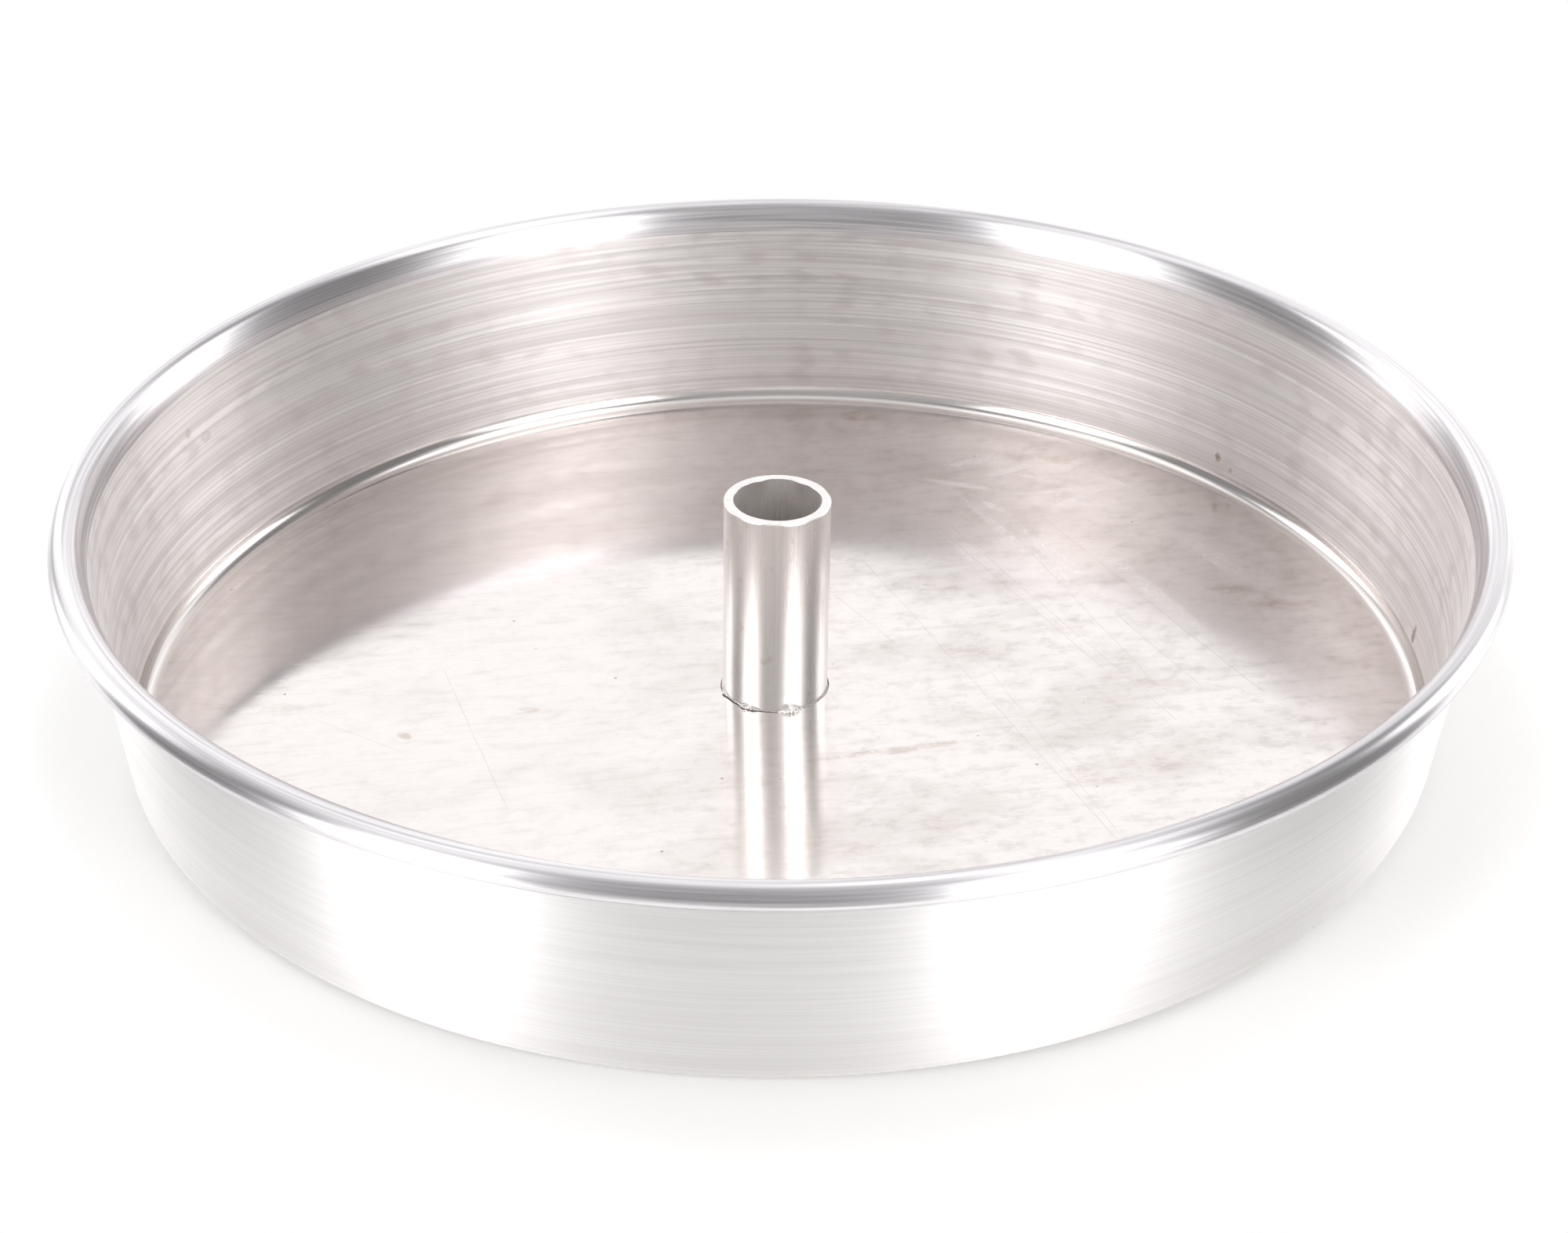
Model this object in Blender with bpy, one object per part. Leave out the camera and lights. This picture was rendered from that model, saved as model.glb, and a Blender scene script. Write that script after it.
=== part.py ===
"""Round tube pan: a spun aluminium pan with a rolled rim and a tube standing at its centre.

The pan is one spun sheet. A cut length of drawn tube passes through a hole in its base and is
welded from below, and a little of the weld has come through to the inside at the tube's foot.
Units are metres, +Z is up, and the origin is the centre of the resting face.
"""

import math

import bmesh
import bpy
from mathutils import Vector

MM = 0.001

# Driving dimensions: the pan
RIM_DIAMETER = 254.0 * MM
PAN_HEIGHT = 43.0 * MM
SHEET = 1.3 * MM
BEAD_DIAMETER = 4.8 * MM
WALL_TILT = math.radians(8.0)
CORNER_INSIDE_RADIUS = 3.0 * MM
NECK_HEIGHT = 39.0 * MM
NECK_INSIDE_RADIUS = 121.2 * MM
CURL_END = math.radians(235.0)

# Driving dimensions: the tube, and how it stands
TUBE_DIAMETER = 19.05 * MM
TUBE_WALL = 1.65 * MM
TUBE_ABOVE_FLOOR = 38.1 * MM
TUBE_RECESS = 0.3 * MM
TUBE_CENTRE = Vector((-1.05 * MM, -1.3 * MM, 0.0))
TUBE_LEAN = math.radians(1.15)

# Driving dimensions: the joint between them
JOINT_GAP = 0.3 * MM
GROOVE_DEPTH = 1.0 * MM
GROOVE_RADIUS = 12.5 * MM
WELD_RECESS = 0.1 * MM
ROOT_SIZE = 0.28 * MM
ROOT_DROPS = (  # direction around the tube, height above the thin root, width along the foot
    (math.radians(200.0), 0.75 * MM, 1.5 * MM),
    (math.radians(236.0), 0.45 * MM, 1.2 * MM),
    (math.radians(287.0), 0.85 * MM, 1.9 * MM),
)

# Facets
PAN_STEPS = 80
TUBE_STEPS = 48
ROOT_STEPS = 96
ARC_STEP = math.radians(24.0)
SHARP_ANGLE = math.radians(35.0)

# Derived sizes
RIM_RADIUS = RIM_DIAMETER / 2
BEAD_RADIUS = BEAD_DIAMETER / 2
BEAD_CENTRE = (RIM_RADIUS - BEAD_RADIUS, PAN_HEIGHT - BEAD_RADIUS)
HOLLOW_RADIUS = BEAD_RADIUS - SHEET
TUBE_RADIUS = TUBE_DIAMETER / 2
HOLE_RADIUS = TUBE_RADIUS + JOINT_GAP


def clear_scene():
    """Remove every object that the file opened with."""
    for item in list(bpy.data.objects):
        bpy.data.objects.remove(item, do_unlink=True)


def finish(name, colour, roughness, metallic):
    """A Principled material with one colour, roughness and metallic value."""
    material = bpy.data.materials.new(name)
    material.use_nodes = True
    shader = material.node_tree.nodes["Principled BSDF"]
    shader.inputs["Base Color"].default_value = (*colour, 1.0)
    shader.inputs["Roughness"].default_value = roughness
    shader.inputs["Metallic"].default_value = metallic
    material.diffuse_color = (*colour, 1.0)
    return material


def arc(centre, radius, start, end):
    """Points on an arc in the (radius, height) plane, both ends included."""
    count = max(2, math.ceil(abs(end - start) / ARC_STEP))
    angles = [start + (end - start) * i / count for i in range(count + 1)]
    return [(centre[0] + radius * math.cos(a), centre[1] + radius * math.sin(a)) for a in angles]


def neck_angle():
    """Tilt of the short neck that leads from the wall to the bead, tangent to the bead."""
    across = BEAD_CENTRE[0] - NECK_INSIDE_RADIUS
    up = BEAD_CENTRE[1] - NECK_HEIGHT
    return math.acos(BEAD_RADIUS / math.hypot(across, up)) - math.atan2(up, across)


def corner_centre():
    """Centre of the corner between base and wall, shared by its inner and outer arcs."""
    height = SHEET + CORNER_INSIDE_RADIUS
    wall = NECK_INSIDE_RADIUS - (NECK_HEIGHT - height) * math.tan(WALL_TILT)
    return (wall - CORNER_INSIDE_RADIUS / math.cos(WALL_TILT), height)


def outside_of_neck(neck_tilt):
    """Where the outer faces of the wall and of the neck meet, one sheet away from the inner ones."""
    half = (neck_tilt - WALL_TILT) / 2
    away = SHEET / math.cos(half)
    middle = WALL_TILT + half
    return (
        NECK_INSIDE_RADIUS + away * math.cos(middle),
        NECK_HEIGHT - away * math.sin(middle),
    )


def bead_arc(radius, start, end):
    """Points round the bead over its top and its outermost side, both of which get a point."""
    top, side = math.pi / 2, 0.0
    return [
        *arc(BEAD_CENTRE, radius, start, top),
        *arc(BEAD_CENTRE, radius, top, side)[1:],
        *arc(BEAD_CENTRE, radius, side, end)[1:],
    ]


def pan_outline():
    """Section of the spun sheet, from the floor's centre over the bead to the underside's centre."""
    corner = corner_centre()
    neck_tilt = neck_angle()
    bead_start = math.pi - neck_tilt
    bead_end = CURL_END - 2 * math.pi
    down = -math.pi / 2
    wall_side = -WALL_TILT
    return [
        (0.0, SHEET),
        *arc(corner, CORNER_INSIDE_RADIUS, down, wall_side),
        (NECK_INSIDE_RADIUS, NECK_HEIGHT),
        *bead_arc(BEAD_RADIUS, bead_start, bead_end),
        *reversed(bead_arc(HOLLOW_RADIUS, bead_start, bead_end)),
        outside_of_neck(neck_tilt),
        *arc(corner, CORNER_INSIDE_RADIUS + SHEET, wall_side, down),
        (0.0, 0.0),
    ]


def add_object(name, bm, material):
    """Put a bmesh into the scene as a smooth-shaded object with sharp edges kept."""
    bmesh.ops.remove_doubles(bm, verts=bm.verts, dist=0.001 * MM)
    bmesh.ops.recalc_face_normals(bm, faces=bm.faces)
    mesh = bpy.data.meshes.new(name)
    bm.to_mesh(mesh)
    bm.free()
    mesh.shade_smooth()
    mesh.set_sharp_from_angle(angle=SHARP_ANGLE)
    mesh.materials.append(material)
    item = bpy.data.objects.new(name, mesh)
    bpy.context.scene.collection.objects.link(item)
    return item


def turned(name, outline, steps, material, closed=True):
    """Spin an outline of (radius, height) points about Z into one closed solid."""
    bm = bmesh.new()
    points = [bm.verts.new((radius, 0.0, height)) for radius, height in outline]
    ends = points[1:] + points[:1] if closed else points[1:]
    edges = [bm.edges.new(pair) for pair in zip(points, ends)]
    bmesh.ops.spin(
        bm,
        geom=points + edges,
        axis=(0.0, 0.0, 1.0),
        cent=(0.0, 0.0, 0.0),
        angle=2 * math.pi,
        steps=steps,
        use_merge=True,
    )
    return add_object(name, bm, material)


def cut_with(item, cutter):
    """Subtract a hidden cutter from an object."""
    cutter.hide_render = True
    cutter.display_type = "WIRE"
    hole = item.modifiers.new("hole", "BOOLEAN")
    hole.operation = "DIFFERENCE"
    hole.solver = "EXACT"
    hole.object = cutter


def pan_shell(material):
    """The spun pan, with the tube's hole and its weld groove cut through the base."""
    shell = turned("pan_shell", pan_outline(), PAN_STEPS, material, closed=False)
    outline = [
        (0.0, 2 * SHEET),
        (HOLE_RADIUS, 2 * SHEET),
        (HOLE_RADIUS, GROOVE_DEPTH),
        (GROOVE_RADIUS, 0.0),
        (GROOVE_RADIUS, -SHEET),
        (0.0, -SHEET),
    ]
    cutter = turned("hole_cutter", outline, TUBE_STEPS, material, closed=False)
    cutter.location = TUBE_CENTRE
    cut_with(shell, cutter)
    return shell


def centre_tube(material):
    """The tube, turned upright from the floor and tilted about the centre of its foot."""
    top = TUBE_ABOVE_FLOOR
    bottom = TUBE_RECESS - SHEET
    bore = TUBE_RADIUS - TUBE_WALL
    outline = [(TUBE_RADIUS, top), (TUBE_RADIUS, bottom), (bore, bottom), (bore, top)]
    tube = turned("centre_tube", outline, TUBE_STEPS, material)
    tube.location = TUBE_CENTRE + Vector((0.0, 0.0, SHEET))
    tube.rotation_euler = (0.0, TUBE_LEAN, 0.0)
    return tube


def tube_weld(material):
    """The ring of weld that fills the groove on the underside, ground flush with the base."""
    slope = GROOVE_DEPTH / (GROOVE_RADIUS - HOLE_RADIUS)
    clearance = JOINT_GAP / math.cos(math.atan(slope))
    tip = GROOVE_RADIUS - (WELD_RECESS + clearance) / slope
    outline = [
        (HOLE_RADIUS, GROOVE_DEPTH - clearance),
        (tip, WELD_RECESS),
        (HOLE_RADIUS, WELD_RECESS),
    ]
    weld = turned("tube_weld", outline, TUBE_STEPS, material)
    weld.location = TUBE_CENTRE
    return weld


def root_size(angle):
    """Size of the weld root at a direction around the tube: a thin line with a few drops."""
    size = ROOT_SIZE
    for direction, height, width in ROOT_DROPS:
        away = math.remainder(angle - direction, 2 * math.pi) * TUBE_RADIUS / width
        size += height * math.exp(-away * away)
    return size


def weld_root(material):
    """The weld root that shows inside the pan: quarter rounds of varying size round the foot."""
    bm = bmesh.new()
    rings = []
    for step in range(ROOT_STEPS):
        angle = 2 * math.pi * step / ROOT_STEPS
        size = root_size(angle)
        outward = Vector((math.cos(angle), math.sin(angle), 0.0))
        section = [(HOLE_RADIUS, 0.0), *arc((HOLE_RADIUS, 0.0), size, 0.0, math.pi / 2)]
        rings.append([bm.verts.new(outward * r + Vector((0.0, 0.0, z))) for r, z in section])
    for ring, after in zip(rings, rings[1:] + rings[:1]):
        for i in range(len(ring)):
            j = (i + 1) % len(ring)
            bm.faces.new((ring[i], after[i], after[j], ring[j]))
    root = add_object("weld_root", bm, material)
    root.location = TUBE_CENTRE + Vector((0.0, 0.0, SHEET + JOINT_GAP))
    root.rotation_euler = (0.0, TUBE_LEAN, 0.0)
    return root


def main():
    """Build the four pieces of the pan."""
    clear_scene()
    pan_shell(finish("spun_aluminium", (0.78, 0.76, 0.75), 0.30, 1.0))
    centre_tube(finish("drawn_aluminium", (0.80, 0.78, 0.76), 0.24, 1.0))
    tube_weld(finish("ground_weld", (0.66, 0.65, 0.65), 0.45, 1.0))
    weld_root(finish("bright_weld", (0.86, 0.85, 0.84), 0.12, 1.0))


main()
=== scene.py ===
"""Looks of a round tube pan: a spun aluminium pan with a drawn tube standing at its centre.

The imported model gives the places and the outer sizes. Each piece is built again here at a finer
grain, with its own finish, and is shown in a plain white studio. Lengths are in metres, +Z is up
and the origin is the centre of the resting face.
"""

from __future__ import annotations

import logging
import math
from collections.abc import Callable, Mapping, Sequence
from dataclasses import dataclass, field
from enum import Enum, IntEnum
from typing import Any, ClassVar

import bmesh
import bpy
from mathutils import Euler, Matrix, Vector, noise


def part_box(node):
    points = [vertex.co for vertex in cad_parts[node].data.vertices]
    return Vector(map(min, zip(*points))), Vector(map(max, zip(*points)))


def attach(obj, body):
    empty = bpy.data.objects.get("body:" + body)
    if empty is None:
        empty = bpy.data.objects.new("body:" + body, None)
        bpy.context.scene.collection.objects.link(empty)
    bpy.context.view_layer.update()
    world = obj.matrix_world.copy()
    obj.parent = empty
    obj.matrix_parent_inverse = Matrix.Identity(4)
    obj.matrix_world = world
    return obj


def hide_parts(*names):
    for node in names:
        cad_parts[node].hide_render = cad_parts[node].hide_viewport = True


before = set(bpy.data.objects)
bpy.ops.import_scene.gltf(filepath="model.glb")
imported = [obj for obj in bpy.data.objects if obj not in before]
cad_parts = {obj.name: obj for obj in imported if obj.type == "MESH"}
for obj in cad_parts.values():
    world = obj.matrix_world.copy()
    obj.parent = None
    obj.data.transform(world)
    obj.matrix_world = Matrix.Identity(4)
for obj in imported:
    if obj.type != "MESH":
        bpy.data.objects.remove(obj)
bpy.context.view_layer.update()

MM = 0.001
LOG = logging.getLogger("tube_pan")

Colour = tuple[float, float, float]
Point = tuple[float, float]
Marks = Sequence[Sequence[float]]


def smoothstep(value: float, low: float, high: float) -> float:
    """Ease a value from 0 at low to 1 at high.

    Args:
        value: The number to ease.
        low: Where the result leaves 0.
        high: Where the result reaches 1.

    Returns:
        A number from 0 to 1.
    """
    share = min(1.0, max(0.0, (value - low) / (high - low)))
    return share * share * (3.0 - 2.0 * share)


def bumps(angle: float, marks: Marks) -> float:
    """Sum of smooth humps round an axis.

    Args:
        angle: Where to read it, in radians.
        marks: Each as (direction in degrees, height in mm, half width in degrees).

    Returns:
        Their height there, in metres.
    """
    total = 0.0
    for way, size, width in marks:
        away = math.remainder(angle - math.radians(way), 2 * math.pi) / math.radians(width)
        total += size * MM * math.exp(-away * away)
    return total


def sine(degrees: float) -> float:
    """Sine of an angle in degrees."""
    return math.sin(math.radians(degrees))


# ---- shader writing


def operator(operation: str, swapped: bool = False) -> Callable[..., Value]:
    """Make an arithmetic method of Value.

    Args:
        operation: The Math node's operation.
        swapped: Whether the value stands behind the other term.

    Returns:
        The method.
    """

    def write(self: Value, *others: Value | float) -> Value:
        """Write the Math node."""
        terms = (*others, self) if swapped else (self, *others)
        return self.graph.math(operation, *terms)

    return write


class Value:
    """A shader socket that takes part in Python arithmetic through Math nodes."""

    def __init__(self, graph: Graph, socket: bpy.types.NodeSocket) -> None:
        """Wrap a socket of a graph."""
        self.graph = graph
        self.socket = socket

    __add__ = operator("ADD")
    __radd__ = operator("ADD", swapped=True)
    __sub__ = operator("SUBTRACT")
    __rsub__ = operator("SUBTRACT", swapped=True)
    __mul__ = operator("MULTIPLY")
    __rmul__ = operator("MULTIPLY", swapped=True)
    __truediv__ = operator("DIVIDE")
    __abs__ = operator("ABSOLUTE")
    lesser = operator("MINIMUM")
    greater = operator("MAXIMUM")
    root = operator("SQRT")
    sine = operator("SINE")

    def eased(self, low: float, high: float) -> Value:
        """Ease from 0 at low to 1 at high, which may lie either way round.

        Args:
            low: Where the result is 0.
            high: Where the result is 1.

        Returns:
            The eased value.
        """
        return self.graph.node(
            "ShaderNodeMapRange",
            {"interpolation_type": "SMOOTHSTEP"},
            {"Value": self, "From Min": low, "From Max": high},
        )


class Graph:
    """Writes the nodes of one material or world."""

    def __init__(self, tree: bpy.types.NodeTree) -> None:
        """Start on an empty tree."""
        self.tree = tree
        tree.nodes.clear()

    def add(
        self,
        kind: str,
        settings: Mapping[str, Any] | None = None,
        inputs: Mapping[str | int, Any] | None = None,
    ) -> bpy.types.Node:
        """Add any node.

        Args:
            kind: The node's type.
            settings: Its own properties, which are set first.
            inputs: Values or links for its sockets, by name or number.

        Returns:
            The node.
        """
        made = self.tree.nodes.new(kind)
        for name, setting in (settings or {}).items():
            setattr(made, name, setting)
        for name, given in (inputs or {}).items():
            socket = made.inputs[name]
            if isinstance(given, Value):
                self.tree.links.new(given.socket, socket)
            elif isinstance(given, tuple) and socket.type == "RGBA":
                socket.default_value = (*given, 1.0)
            else:
                socket.default_value = given
        return made

    def node(self, kind: str, *given: Any, output: str | int = 0, **named: Any) -> Value:
        """Add any node and take one of its outputs.

        Args:
            kind: The node's type.
            *given: Its settings and inputs, as for add.
            output: The output wanted, by name or number.
            **named: The same by name.

        Returns:
            That output.
        """
        return Value(self, self.add(kind, *given, **named).outputs[output])

    def math(self, operation: str, *terms: Value | float) -> Value:
        """Add one Math node.

        Args:
            operation: The node's operation.
            *terms: The node's inputs, in order.

        Returns:
            The node's result.
        """
        return self.node("ShaderNodeMath", {"operation": operation}, dict(enumerate(terms)))

    def place(self) -> tuple[Value, Value, Value]:
        """Place on the piece in its own frame, in metres."""
        return self.split(self.node("ShaderNodeTexCoord", output="Object"))

    def split(self, vector: Value) -> tuple[Value, Value, Value]:
        """The three parts of a vector."""
        x, y, z = self.add("ShaderNodeSeparateXYZ", inputs={0: vector}).outputs
        return Value(self, x), Value(self, y), Value(self, z)

    def join(self, x: Value | float, y: Value | float, z: Value | float) -> Value:
        """A vector from three parts."""
        return self.node("ShaderNodeCombineXYZ", inputs={0: x, 1: y, 2: z})

    def noise(
        self,
        vector: Value,
        w: Value | float = 0.0,
        detail: float = 3.0,
        roughness: float = 0.55,
        distortion: float = 0.0,
    ) -> Value:
        """Noise in four dimensions, about 1 unit to a feature.

        Args:
            vector: The first three dimensions, already scaled.
            w: The fourth, or a plain number to pick a different pattern.
            detail: How many finer layers it has.
            roughness: How strong those are.
            distortion: How far it is pushed about.

        Returns:
            A value round 0.5.
        """
        inputs = {
            "Vector": vector,
            "W": w,
            "Scale": 1.0,
            "Detail": detail,
            "Roughness": roughness,
            "Distortion": distortion,
        }
        return self.node("ShaderNodeTexNoise", {"noise_dimensions": "4D"}, inputs)

    def blend(self, share: Value | float, first: Value | Colour, second: Value | Colour) -> Value:
        """Mix two colours.

        Args:
            share: How much of the second colour.
            first: The colour at 0.
            second: The colour at 1.

        Returns:
            The mixed colour.
        """
        inputs = {0: share, 6: first, 7: second}
        return self.node("ShaderNodeMix", {"data_type": "RGBA"}, inputs, output=2)

    def bump(self, height: Value, depth: float) -> Value:
        """A bumped normal.

        Args:
            height: The surface's height, 0 to 1.
            depth: What a height of 1 means, in metres.

        Returns:
            The normal.
        """
        inputs = {"Strength": 1.0, "Distance": depth, "Height": height}
        return self.node("ShaderNodeBump", inputs=inputs)


@dataclass(frozen=True)
class Metal:
    """Base of every metal finish: one Principled shader with what stays the same all over."""

    name: str
    bright: Colour
    dull: Colour
    roughness: float
    anisotropic: float = 0.0
    grain_turn: float = 0.0
    metallic: float = 1.0

    def material(self) -> bpy.types.Material:
        """Make the finish as a material."""
        material = bpy.data.materials.new(self.name)
        material.use_nodes = True
        material.diffuse_color = (*self.bright, 1.0)
        graph = Graph(material.node_tree)
        inputs = {
            "Metallic": self.metallic,
            "Anisotropic": self.anisotropic,
            "Anisotropic Rotation": self.grain_turn,
        }
        inputs |= self.surface(graph)
        shader = graph.node("ShaderNodeBsdfPrincipled", inputs=inputs)
        graph.add("ShaderNodeOutputMaterial", inputs={"Surface": shader})
        return material

    def surface(self, graph: Graph) -> dict[str, Any]:
        """What varies, as inputs of the shader."""
        raise NotImplementedError


@dataclass(frozen=True)
class SpunMetal(Metal):
    """Metal marked by the spinning tool: fine lines round the axis, rings and rows of dabs."""

    grain_turn: float = 0.25
    reach: float = 120 * MM
    fine_pitch: float = 0.45 * MM
    ring_pitch: float = 1.5 * MM
    line_depth: float = 0.003 * MM
    # Dark colour for the chatter dabs, and for the painted shade at the wall's foot.
    shade: Colour = (0.66, 0.59, 0.58)
    dab_share: float = 0.0
    dab_count: int = 76
    # Strength of the painted shade that darkens the wall's foot.
    painted_foot_shade: float = 0.0
    rust: Colour = (0.36, 0.24, 0.17)
    spots: Marks = ()

    def turned(self, graph: Graph, length: float, pitch: float, detail: float = 2.0) -> Value:
        """Noise drawn out round the axis.

        Args:
            graph: The graph to write in.
            length: How long a mark is round the axis, in metres.
            pitch: How wide a mark is across, in metres.
            detail: How many finer layers it has.

        Returns:
            A value round 0.5.
        """
        x, y, z = graph.place()
        radius = (x * x + y * y).root()
        around = self.reach / length
        place = graph.join(x / radius * around, y / radius * around, z / pitch)
        return graph.noise(place, radius / pitch, detail)

    def dabs(self, graph: Graph) -> Value:
        """Rows of soft dabs left by a tool that chattered, 0 where there are none."""
        x, y, z = graph.place()
        angle = graph.math("ARCTAN2", y, x)
        drift = self.turned(graph, 60 * MM, 3.5 * MM) * 9.0
        wave = (angle * self.dab_count + drift).sine()
        rows = self.turned(graph, 13 * MM, 2.6 * MM)
        patches = self.turned(graph, 45 * MM, 14 * MM)
        return rows.eased(0.42, 0.66) * wave.eased(-0.7, 0.9) * patches.eased(0.36, 0.6)

    def spotted(self, graph: Graph) -> Value | float:
        """Small rusty spots.

        Each is (direction in degrees; height, half length and half height in mm; strength).
        """
        x, y, z = graph.place()
        total: Value | float = 0.0
        for direction, *sizes, strength in self.spots:
            height, length, tall = (size * MM for size in sizes)
            c, s = math.cos(math.radians(direction)), sine(direction)
            along = (y * c - x * s) * (1.0 / length)
            up = (z - height) * (1.0 / tall)
            facing = (x * c + y * s).eased(0.0, 10 * MM)
            total = total + (along * along + up * up).eased(1.0, 0.2) * facing * strength
        return total

    def surface(self, graph: Graph) -> dict[str, Any]:
        """What varies, as inputs of the shader."""
        fine = self.turned(graph, 90 * MM, self.fine_pitch)
        rings = self.turned(graph, 400 * MM, self.ring_pitch)
        soft = self.turned(graph, 50 * MM, 6 * MM)
        lines = fine * 0.6 + rings * 0.25 + soft * 0.15
        tone = lines.eased(0.34, 0.66)
        base = graph.blend(tone, self.dull, self.bright)
        if self.dab_share:
            base = graph.blend(self.dabs(graph) * self.dab_share, base, self.shade)
        # Painted shade: the wall is darkened over its lowest 14 mm, by the corner with the floor,
        # where shade falls.
        if self.painted_foot_shade:
            _, _, z = graph.place()
            stain = z.eased(14 * MM, 4 * MM) * (0.5 + 0.5 * soft)
            base = graph.blend(stain * self.painted_foot_shade, base, self.shade)
        if self.spots:
            ragged = self.turned(graph, 1.2 * MM, 0.8 * MM).eased(0.3, 0.55)
            base = graph.blend(self.spotted(graph) * ragged, base, self.rust)
        return {
            "Base Color": base,
            "Roughness": self.roughness * (1.05 - 0.1 * tone),
            "Normal": graph.bump(fine * 0.6 + rings * 0.4, self.line_depth),
        }


@dataclass(frozen=True)
class PressedMetal(Metal):
    """The floor's metal: rolled sheet that was pressed flat, then wiped, knocked and stained."""

    stain: Colour = (0.60, 0.50, 0.44)
    speck: Colour = (0.24, 0.19, 0.16)
    haze: float = 0.24
    reach: float = 112 * MM
    scratches: Marks = ()
    stains: Marks = ()
    strokes: Marks = ()
    grain_angle: float = math.radians(9.0)
    smoothest: float = 0.045
    relief: float = 0.008 * MM

    def flat_noise(
        self, graph: Graph, across: float, along: float, seed: float, **more: float
    ) -> Value:
        """Noise over the floor, turned a little so that it follows the sheet's rolling grain.

        Args:
            graph: The graph to write in.
            across: Size of a mark across the grain, in metres.
            along: Size of a mark along the grain, in metres.
            seed: Picks the pattern.
            **more: Further noise settings.

        Returns:
            A value round 0.5.
        """
        x, y, _ = graph.place()
        c, s = math.cos(self.grain_angle), math.sin(self.grain_angle)
        u = x * c + y * s
        v = y * c - x * s
        return graph.noise(graph.join(u / along, v / across, 0.0), seed, **more)

    def scratch(self, graph: Graph, start: Point, end: Point, width: float) -> Value:
        """One fine straight scratch that comes and goes.

        Args:
            graph: The graph to write in.
            start: One end, in metres.
            end: The other end, in metres.
            width: Its width, in metres.

        Returns:
            1 on the scratch, 0 off it.
        """
        x, y, _ = graph.place()
        run = Vector(end) - Vector(start)
        way = run.normalized()
        along = (x - start[0]) * way.x + (y - start[1]) * way.y
        aside = (y - start[1]) * way.x - (x - start[0]) * way.y
        inside = along.eased(0.0, 2 * MM) * along.eased(run.length, run.length - 2 * MM)
        wander = graph.noise(graph.join(along / (14 * MM), 0.0, 0.0), start[1] / MM, 2.0)
        broken = graph.noise(graph.join(along / (5 * MM), 0.0, 0.0), start[0] / MM).eased(0.3, 0.5)
        return abs(aside + (wander - 0.5) * (0.8 * MM)).eased(width, 0.0) * inside * broken

    def patches(self, graph: Graph, marks: Marks) -> Value | float:
        """Soft long patches at given places.

        Args:
            graph: The graph to write in.
            marks: Each as (x, y, half length and half width in mm; turn in degrees; strength).

        Returns:
            Their strength, 0 away from them.
        """
        x, y, _ = graph.place()
        total: Value | float = 0.0
        for *sizes, turn, strength in marks:
            left, front, length, width = (size * MM for size in sizes)
            c, s = math.cos(math.radians(turn)), sine(turn)
            along = ((x - left) * c + (y - front) * s) * (1.0 / length)
            aside = ((y - front) * c - (x - left) * s) * (1.0 / width)
            total = total + (along * along + aside * aside).eased(1.0, 0.25) * strength
        return total

    def surface(self, graph: Graph) -> dict[str, Any]:
        """What varies, as inputs of the shader."""
        x, y, _ = graph.place()
        cloud = self.flat_noise(graph, 20 * MM, 34 * MM, 3.0, detail=5.0, distortion=0.3)
        smear = self.flat_noise(graph, 2.2 * MM, 14 * MM, 7.0, detail=4.0)
        mottle = self.flat_noise(graph, 3.4 * MM, 5.0 * MM, 11.0, detail=5.0, roughness=0.7)
        grain = self.flat_noise(graph, 0.35 * MM, 4 * MM, 13.0, detail=2.0)
        cells = graph.add(
            "ShaderNodeTexVoronoi",
            {"feature": "F1"},
            {"Vector": graph.join(x / (5 * MM), y / (5 * MM), 0.0), "Scale": 1.0},
        ).outputs
        chosen, _, _ = graph.split(Value(graph, cells["Color"]))
        specks = Value(graph, cells["Distance"]).eased(0.08, 0.02) * chosen.eased(0.9, 0.94)
        # Darker towards the floor's edge by the wall, over its last 14 mm.
        edge = (x * x + y * y).root().eased(self.reach - 14 * MM, self.reach)
        torn = mottle.eased(0.36, 0.6)
        stains = self.patches(graph, self.stains) * torn
        strokes = self.patches(graph, self.strokes) * (0.4 + 0.6 * torn)
        side = x.eased(-70 * MM, 50 * MM) * 0.6 + 0.4
        # Cloudy dirt, heavier towards +X, plus the darker band at the floor's edge.
        dirt_and_edge_band = (cloud.eased(0.45, 0.64) * 0.8 + mottle.eased(0.46, 0.66) * 0.7) * side + edge * 0.3
        grime_and_edge_band = dirt_and_edge_band * 0.6 + smear.eased(0.48, 0.74) * 0.28 + grain.eased(0.5, 0.8) * 0.2
        tone = graph.blend((grime_and_edge_band - strokes * 0.3).greater(0.0).lesser(1.0), self.bright, self.dull)
        spots = mottle.eased(0.60, 0.74) * cloud.eased(0.46, 0.6) * side
        tone = graph.blend((spots * 0.5 + stains * 0.7).lesser(0.85), tone, self.stain)
        tone = graph.blend(specks * 0.7, tone, self.speck)
        lines: Value | float = 0.0
        for sizes in self.scratches:
            left, front, right, back, width = (size * MM for size in sizes)
            lines = lines + self.scratch(graph, (left, front), (right, back), width)
        tone = graph.blend((lines * 0.35).lesser(0.5), tone, self.stain)
        worn = x.eased(-50 * MM, 60 * MM) * 0.36 + cloud.eased(0.4, 0.62) * 0.15
        rough = worn + strokes * 0.9 + (mottle - 0.5) * 0.6 + (smear - 0.5) * 0.4
        height = smear * 0.35 + mottle * 0.25 + grain * 0.4 - specks * 0.4 - lines * 0.4
        return {
            "Base Color": tone,
            "Roughness": (self.roughness + rough * self.haze).greater(self.smoothest),
            "Normal": graph.bump(height, self.relief),
        }


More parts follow.
